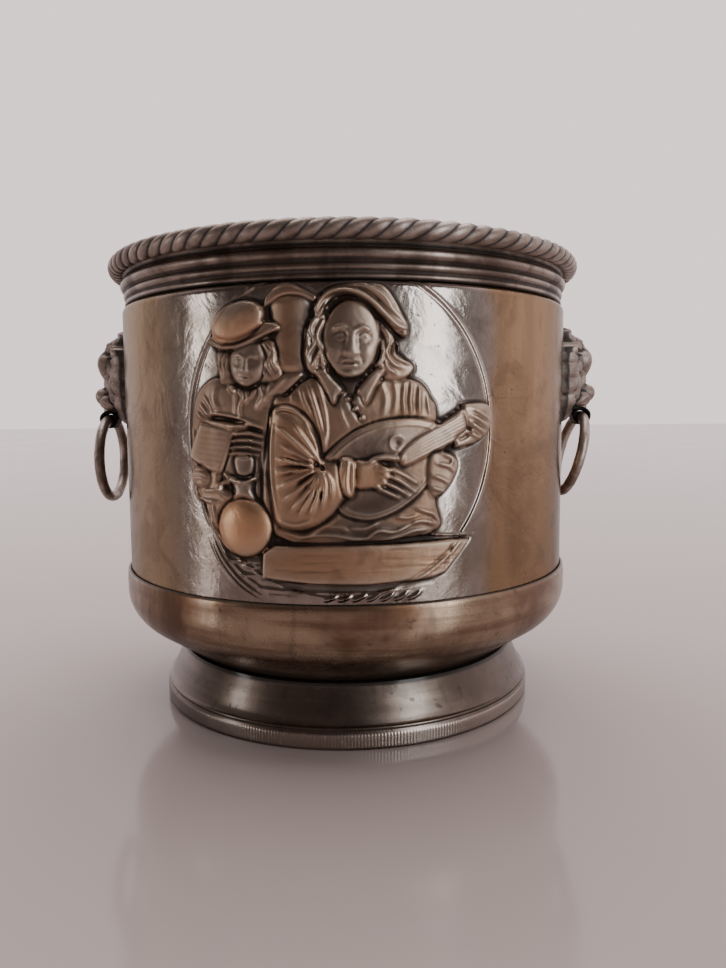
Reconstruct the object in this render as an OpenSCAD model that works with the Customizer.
// Footed planter pot in sheet brass. A rolled wall band with a pressed round medallion stands
// in a spun bowl on a spun foot, under a beaded collar whose edge is rolled over a wire.
// Two cast lion masks, bolted through the wall, each carry a swinging ring.
// Origin: centre of the foot's underside. +Z up, the medallion faces -Y, the masks are on X.

/* [Wall band] */
// Outer radius of the straight wall
wall_r = 107.5; // [106.5:0.5:108]
// Thickness of the wall sheet
wall_t = 0.8; // [0.6:0.1:1]
// Height of the joint between bowl lip and wall
joint_z = 65.2; // [64:0.2:67]
// Height at which the wall starts to round in to its neck
shoulder_z = 184; // [183:0.5:185]
// Radius of that shoulder
shoulder_r = 3.2; // [2.8:0.2:3.4]
// Width of the lap seam at the back
seam_w = 7; // [5:1:12]

/* [Medallion] */
// Height of the medallion's centre
medal_z = 131; // [128:1:134]
// Radius of the medallion's border, along the sheet
medal_r = 63; // [60:0.5:64]
// Width of the border
border_w = 1.6; // [1.2:0.2:2.4]
// Height of the border above the wall
border_h = 0.7; // [0.5:0.1:1]
// Height of the scene's lowest layer above the wall
relief_low = 1.6; // [1.2:0.1:2]
// Height of its middle layer
relief_mid = 2.8; // [2.4:0.1:3.2]
// Height of its nearest layer
relief_high = 3.8; // [3.4:0.1:4.2]

/* [Bowl] */
// Largest radius of the bowl
bowl_r = 109.4; // [109.4:0.2:110.4]
// Thickness of the bowl sheet
bowl_t = 1; // [0.8:0.1:1.2]
// Radius of the flat floor
floor_r = 81; // [78:1:82]
// Height of the floor's underside
floor_z = 25.3; // [24:0.1:27]
// Slope of the underside beyond the floor
under_slope = 35; // [33:1:37]
// Radius of the bulge
bulge_r = 19.7; // [18:0.1:20]

/* [Foot] */
// Radius of the foot
foot_r = 92; // [90:0.5:94]
// Height of the foot's plain bottom band
foot_band_h = 8; // [7:0.5:9]
// Radius of the foot's neck
foot_neck_r = 83; // [82:0.5:84]
// Thickness of the foot sheet
foot_t = 1.2; // [1:0.1:1.4]

/* [Collar] */
// Radius of the wall's neck inside the collar
neck_r = 104.3; // [104.3:0.1:104.4]
// Thickness of the collar sheet
collar_t = 0.8; // [0.7:0.05:0.9]
// Lower edge of the collar
collar_z = 187.4; // [187.4:0.1:187.8]
// Radius of the rolled edge's centre line
roll_r = 109.2; // [109:0.1:109.6]
// Height of the rolled edge's centre
roll_z = 204.7; // [204:0.1:206]
// Section radius of the rolled edge
roll_section = 4.1; // [3.8:0.1:4.4]
// Section radius of the wire in the rolled edge
wire_section = 2.7; // [2.5:0.1:2.8]

/* [Lion masks and rings] */
// Height of the ring's pivot in the mask's mouth
pivot_z = 135.4; // [135:0.1:136]
// Distance of the ring's pivot from the pot's axis
pivot_x = 120.4; // [120.2:0.1:121.4]
// Radius of the ring, to the middle of its wire
ring_r = 19.8; // [19.4:0.1:20]
// Section radius of the ring's wire
ring_wire = 2.6; // [2.4:0.05:2.6]
// Width of the mouth that the ring passes through
mouth_w = 9; // [8:0.5:10]
// Lean of the right ring towards the wall at rest
right_lean = 14; // [10:1:14]
// Height of the stud that holds each mask
stud_z = 158; // [154:1:162]
// Radius of the stud
stud_r = 1.95; // [1.9:0.05:2]

/* [Hidden] */
$fn = 96;

gap = 0.05;                          // solder gap between sheets
bore_r = ring_wire + 0.7;            // of the mouth, for the ring
barrel_r = bore_r + 1.4;             // of the mouth's bar
far = 300;                           // longer than anything here
arc_steps = 12;                      // chords in a profile's arc
brass = "#9c7b46";
dark_brass = "#5d5145";
steel = "#8a8d90";

wall_low_z = joint_z - 7.2;
neck_top_z = 199;
lip_r = wall_r + gap;
bowl_lip_h = 4.5;
mask_skin = 6;                       // depth of the plate behind each face
wall_hole_r = stud_r + 0.25;
washer_r = 5.5;
washer_x = wall_r - wall_t - 0.25;   // a flat washer just inside the curved wall
washer_t = 1;
nut_t = 3.2;
nut_r = 4.04;                        // across corners, 7 across flats

// A point of the medallion, from its distance along the sheet and its height
function on_wall(u, z) = [wall_r * sin(u / wall_r * 180 / PI), z];
function laid(points) = [for (p = points) on_wall(p[0], p[1])];
function disc(u, z, r, steps = 24) =
    [for (i = [0:steps - 1]) on_wall(u + r * cos(360 * i / steps), z + r * sin(360 * i / steps))];
function arc(cx, cz, r, from, to) =
    [for (i = [0:arc_steps]) let (a = from + (to - from) * i / arc_steps)
        [cx + r * cos(a), cz + r * sin(a)]];

// A flat outline seen from the front, carried back through the front of the wall
module from_front() {
    rotate([90, 0, 0]) linear_extrude(far) children();
}

// An outline raised by a height above the wall
module raised(height) {
    intersection() {
        difference() {
            translate([0, 0, joint_z + 0.6]) cylinder(r = wall_r + height, h = shoulder_z - joint_z - 0.8);
            translate([0, 0, -1]) cylinder(r = wall_r - wall_t / 2, h = far);
        }
        from_front() children();
    }
}

// ---- Medallion: a pressed scene in three layers, each inside the one below ----

module medallion_border() {
    raised(border_h) difference() {
        polygon(disc(0, medal_z, medal_r, 48));
        polygon(disc(0, medal_z, medal_r - border_w, 48));
    }
}

// A drinker with a hat and a jug behind a lute player in a beret, both behind a table top
module figures_and_table() {
    polygon(laid([[-54, 96], [-58, 122], [-54, 148], [-45, 152], [-50, 166], [-38, 180], [-23, 170],
                  [-23, 153], [-10, 151], [-10, 178], [2, 183], [18, 183], [26, 168], [27, 151],
                  [35, 140], [55, 142], [60, 131], [40, 118], [36, 104], [50, 88], [40, 76], [-30, 75]]));
}

// Hats, heads, the near arm, the lute, the jug and the plank
module near_forms() {
    polygon(disc(-36, 171, 8));
    polygon(disc(-34, 157, 6));
    polygon(disc(-37, 95, 10));
    polygon(disc(5, 165, 12));
    polygon(laid([[-5, 177], [3, 181], [16, 181], [23, 169]]));
    polygon(laid([[-22, 97], [-24, 120], [-20, 138], [-12, 136], [-2, 120], [-2, 106], [-10, 97]]));
    polygon(laid([[-1, 124], [7, 131], [25, 134], [37, 130], [36, 118], [28, 107], [16, 101], [4, 102]]));
    polygon(laid([[-26, 84], [42, 86], [36, 77], [-26, 77]]));
}

module nearest_forms() {
    polygon(disc(12, 116, 6));
    polygon(laid([[27, 121], [52, 136], [54, 132], [30, 117]]));
}

module wall_sheet() {
    rotate_extrude() difference() {
        polygon(concat(
            [[wall_r - wall_t, wall_low_z], [wall_r, wall_low_z]],
            arc(wall_r - shoulder_r, shoulder_z, shoulder_r, 0, 90),
            [[neck_r, shoulder_z + shoulder_r], [neck_r, neck_top_z], [neck_r - wall_t, neck_top_z]],
            [[neck_r - wall_t, shoulder_z + shoulder_r - wall_t]],
            arc(wall_r - shoulder_r, shoulder_z, shoulder_r - wall_t, 90, 0)));
    }
}

// The strip where the two ends of the sheet lap, inside the back of the wall
module lap_seam() {
    intersection() {
        difference() {
            translate([0, 0, joint_z]) cylinder(r = wall_r - wall_t / 2, h = shoulder_z - joint_z - 3);
            translate([0, 0, -1]) cylinder(r = wall_r - wall_t * 2, h = far);
        }
        translate([-seam_w / 2, 0, 0]) cube([seam_w, far, far]);
    }
}

module wall_band() {
    color(brass) difference() {
        union() {
            wall_sheet();
            lap_seam();
            medallion_border();
            raised(relief_low) figures_and_table();
            raised(relief_mid) near_forms();
            raised(relief_high) nearest_forms();
        }
        for (side = [-1, 1])
            translate([side * wall_r, 0, stud_z]) rotate([0, 90, 0])
                cylinder(r = wall_hole_r, h = 12, center = true);
    }
}

// ---- Bowl, foot, collar ----

module lower_bowl() {
    bulge_z = floor_z + bulge_r * cos(under_slope)
        + (bowl_r - bulge_r * (1 - sin(under_slope)) - floor_r) * tan(under_slope);
    color(brass) rotate_extrude() polygon(concat(
        [[0, floor_z], [floor_r, floor_z]],
        arc(bowl_r - bulge_r, bulge_z, bulge_r, under_slope - 90, 0),
        [[bowl_r, joint_z - 3.6], [bowl_r - 0.25, joint_z - 1.2], [bowl_r - 0.7, joint_z]],
        [[lip_r, joint_z], [lip_r, joint_z - bowl_lip_h], [bowl_r - bowl_t, joint_z - bowl_lip_h - 1]],
        arc(bowl_r - bulge_r, bulge_z, bulge_r - bowl_t, 0, under_slope - 90),
        [[floor_r - bowl_t / 2, floor_z + bowl_t], [0, floor_z + bowl_t]]));
}

module foot_ring() {
    top_z = floor_z - gap;
    hem = 4;
    ledge = 6;
    color(dark_brass) rotate_extrude() difference() {
        polygon([[foot_r - hem, 0], [foot_r - 0.4, 0], [foot_r, 1.2], [foot_r, foot_band_h - 2.4],
                 [foot_r - 0.8, foot_band_h], [foot_r - 0.6, foot_band_h + 0.9],
                 [foot_r - 1.8, foot_band_h + 1.8], [foot_neck_r + 3, top_z - 6], [foot_neck_r, top_z],
                 [foot_neck_r - ledge, top_z], [foot_neck_r - ledge, top_z - foot_t]]);
        polygon([[foot_r - hem - 1, -1], [foot_r - hem, 1], [foot_r - foot_t, foot_t],
                 [foot_r - foot_t, foot_band_h - 2.4], [foot_r - foot_t - 2.4, foot_band_h + 1.8],
                 [foot_neck_r + 3 - foot_t, top_z - 6], [foot_neck_r - foot_t, top_z - foot_t],
                 [foot_neck_r - ledge - 1, top_z - foot_t], [foot_neck_r - ledge - 1, -1]]);
    }
}

// The collar grips the wall's neck between an outer skirt and an inner one
module rim_collar() {
    skirt_r = neck_r + gap + collar_t;
    inner_r = neck_r - wall_t - gap - collar_t;
    throat_z = 199.6;
    color(dark_brass) rotate_extrude() difference() {
        union() {
            polygon([[inner_r, collar_z + 2], [skirt_r, collar_z], [skirt_r, throat_z - 1.6],
                     [roll_r - 2.4, throat_z + 1.8], [roll_r - 3.4, roll_z + 2.2], [inner_r, throat_z]]);
            translate([skirt_r - 0.2, collar_z + 1.2]) circle(1.3);
            translate([skirt_r - 0.1, collar_z + 4.8]) circle(1.6);
            translate([skirt_r + 0.6, collar_z + 9.4]) circle(2.3);
            translate([roll_r, roll_z]) circle(roll_section);
        }
        translate([roll_r, roll_z]) circle(wire_section + gap);
        polygon([[neck_r - wall_t - gap, collar_z - 1], [neck_r + gap, collar_z - 1],
                 [neck_r + gap, throat_z - 1], [roll_r - 2, throat_z + 2.6], [roll_r - 2.4, roll_z],
                 [neck_r - wall_t - gap, throat_z]]);
    }
}

module rim_wire() {
    color(steel) rotate_extrude() translate([roll_r, roll_z]) circle(wire_section);
}

// ---- Lion masks, their fastenings and rings ----

// Children are drawn for the right side; the left one is its mirror image
module on_side(side) {
    if (side < 0) mirror([1, 0, 0]) children();
    else children();
}

// One tapered lock of the mane, pointing away from the face at an angle
module mane_lock(angle) {
    translate([wall_r + 3.5, 0, stud_z]) rotate([angle, 0, 0]) translate([0, 0, 12.5])
        rotate([0, -8, 0]) cylinder(r1 = 4.2, r2 = 1.6, h = 6.5);
}

module lion_mask(side) {
    brow_x = wall_r + 15.5;
    nose_x = wall_r + 17;
    color(dark_brass) on_side(side) difference() {
        union() {
            translate([wall_r - 4, 0, stud_z]) rotate([0, 90, 0]) cylinder(r = 14.5, h = 4 + mask_skin);
            for (angle = [-150:25:150]) mane_lock(angle);
            translate([wall_r + 2, 0, stud_z]) rotate([0, 90, 0]) sphere(13.6);
            translate([wall_r + 4, 0, stud_z + 16]) sphere(5.6);
            for (y = [-1, 1]) {
                translate([wall_r + 4, y * 11.5, stud_z + 12]) sphere(4.4);
                translate([brow_x - 1.2, y * 5, stud_z + 5.5]) sphere(5.2);
                translate([brow_x - 3.5, y * 4.6, stud_z - 14]) sphere(5);
            }
            translate([nose_x - 3.4, 0, stud_z - 3]) sphere(6);
            translate([nose_x, 0, stud_z - 12.4]) sphere(4.1);
            translate([wall_r - 4, -mouth_w / 2, pivot_z - 1]) cube([14, mouth_w, 18]);
            translate([pivot_x, mouth_w / 2, pivot_z]) rotate([90, 0, 0]) cylinder(r = barrel_r, h = mouth_w);
            translate([wall_r, -mouth_w / 2, pivot_z - barrel_r])
                cube([pivot_x - wall_r, mouth_w, 12]);
        }
        translate([0, 0, -1]) cylinder(r = wall_r, h = far);
        translate([pivot_x, mouth_w, pivot_z]) rotate([90, 0, 0])
            cylinder(r = bore_r, h = 2 * mouth_w);
        translate([wall_r - 5, 0, stud_z]) rotate([0, 90, 0]) cylinder(r = stud_r + gap, h = 14);
    }
}

module mask_stud(side) {
    color(brass) on_side(side)
        translate([washer_x - 6, 0, stud_z]) rotate([0, 90, 0]) cylinder(r = stud_r, h = 14.5);
}

module mask_washer(side) {
    color(brass) on_side(side) translate([washer_x - washer_t, 0, stud_z]) rotate([0, 90, 0])
        difference() {
            cylinder(r = washer_r, h = washer_t);
            translate([0, 0, -1]) cylinder(r = stud_r + 0.2, h = washer_t + 2);
        }
}

module mask_nut(side) {
    color(brass) on_side(side)
        translate([washer_x - washer_t - nut_t, 0, stud_z]) rotate([0, 90, 0]) difference() {
            cylinder(r = nut_r, h = nut_t, $fn = 6);
            translate([0, 0, -1]) cylinder(r = stud_r + gap, h = nut_t + 2);
        }
}

// A ring hanging from its pivot, leaning inwards by an angle
module swing_ring(side, lean) {
    color(dark_brass) on_side(side)
        translate([pivot_x, 0, pivot_z]) rotate([0, lean, 0]) translate([0, 0, -ring_r])
            rotate([0, 90, 0]) rotate_extrude() translate([ring_r, 0]) circle(ring_wire);
}

module lion_mask_left() { lion_mask(-1); }
module lion_mask_right() { lion_mask(1); }
module mask_stud_left() { mask_stud(-1); }
module mask_stud_right() { mask_stud(1); }
module mask_washer_left() { mask_washer(-1); }
module mask_washer_right() { mask_washer(1); }
module mask_nut_left() { mask_nut(-1); }
module mask_nut_right() { mask_nut(1); }
module ring_left() { swing_ring(-1, 0); }
module ring_right() { swing_ring(1, right_lean); }

wall_band();
lower_bowl();
foot_ring();
rim_collar();
rim_wire();
lion_mask_left();
lion_mask_right();
mask_stud_left();
mask_stud_right();
mask_washer_left();
mask_washer_right();
mask_nut_left();
mask_nut_right();
ring_left();
ring_right();
